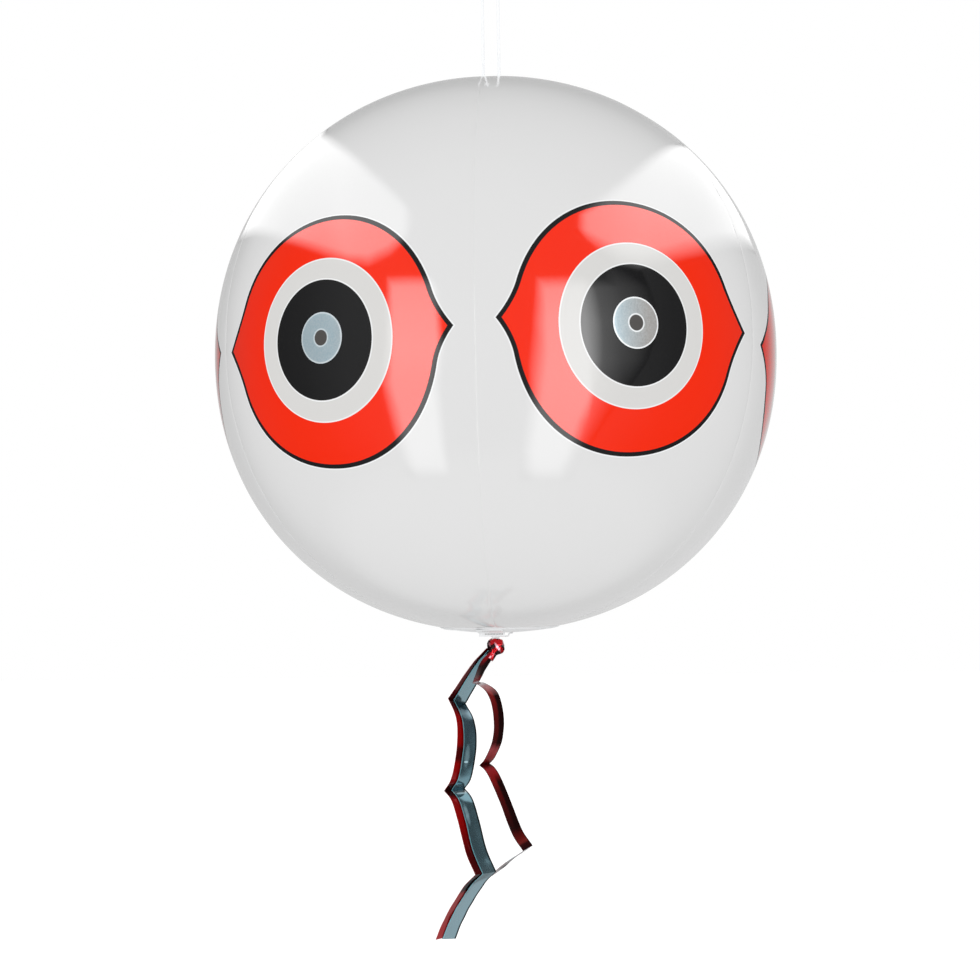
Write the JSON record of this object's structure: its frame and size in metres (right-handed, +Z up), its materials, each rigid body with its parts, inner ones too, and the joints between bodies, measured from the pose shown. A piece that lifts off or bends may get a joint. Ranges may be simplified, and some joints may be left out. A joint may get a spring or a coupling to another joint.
{
  "type": "bird scare balloon",
  "caption": "Inflatable white ball with printed staring eyes and foil pupils, hung by a looped cord through a welded strap, with a tail of creased foil ribbons and a push-in valve.",
  "frame": {"origin": "where a hook carries the cord's loop, at the loop's inside", "axes": "+Z up along the hanging balloon; -Y is the front, where two gores meet between two printed eyes; +X is to the right as seen from the front"},
  "size_m": [0.401, 0.3988, 0.73],
  "materials": {
    "white_film": "glossy inflated vinyl film, printed with eyes",
    "clear_film": "welded clear vinyl over white film",
    "pupil_foil": "silver metallised film",
    "cord_fibre": "pale translucent nylon",
    "red_foil": "crumpled red metallised film",
    "ribbon_foil": "metallised film, silver on one side and red on the other",
    "valve_vinyl": "soft moulded vinyl"
  },
  "bodies": {
    "cord": {"hanging_cord": "cord_fibre", "cord_knot": "cord_fibre"},
    "balloon": {"gore_1": "white_film", "gore_2": "white_film", "gore_3": "white_film", "gore_4": "white_film", "gore_5": "white_film", "gore_6": "white_film", "top_patch": "clear_film", "bottom_patch": "clear_film", "foil_pupil_1": "pupil_foil", "foil_pupil_2": "pupil_foil", "foil_pupil_3": "pupil_foil", "foil_pupil_4": "pupil_foil", "foil_pupil_5": "pupil_foil", "foil_pupil_6": "pupil_foil", "hanging_strap": "clear_film", "tail_loop": "clear_film", "valve_flange": "valve_vinyl"},
    "stem": {"valve_stem": "valve_vinyl"},
    "plug": {"valve_plug": "valve_vinyl"},
    "tail": {"tail_knot": "red_foil", "ribbon_front": "ribbon_foil", "ribbon_back": "ribbon_foil", "ribbon_side": "ribbon_foil"}
  },
  "joints": [
    {"name": "balloon_swing", "type": "hinge", "parent": "cord", "child": "balloon", "pos_m": [0, 0, -0.1048], "axis": [1, 0, 0], "range_deg": [-60, 60]},
    {"name": "tail_swing", "type": "hinge", "parent": "balloon", "child": "tail", "pos_m": [-0.003, 0, -0.50745], "axis": [1, 0, 0], "range_deg": [-50, 50]},
    {"name": "valve_push", "type": "slide", "parent": "balloon", "child": "stem", "axis": [0.2997, 0.5191, 0.8005], "range_m": [0, 0.0095]},
    {"name": "plug_pull", "type": "slide", "parent": "stem", "child": "plug", "axis": [0.2997, 0.5191, 0.8005], "range_m": [0, 0.008]}
  ]
}
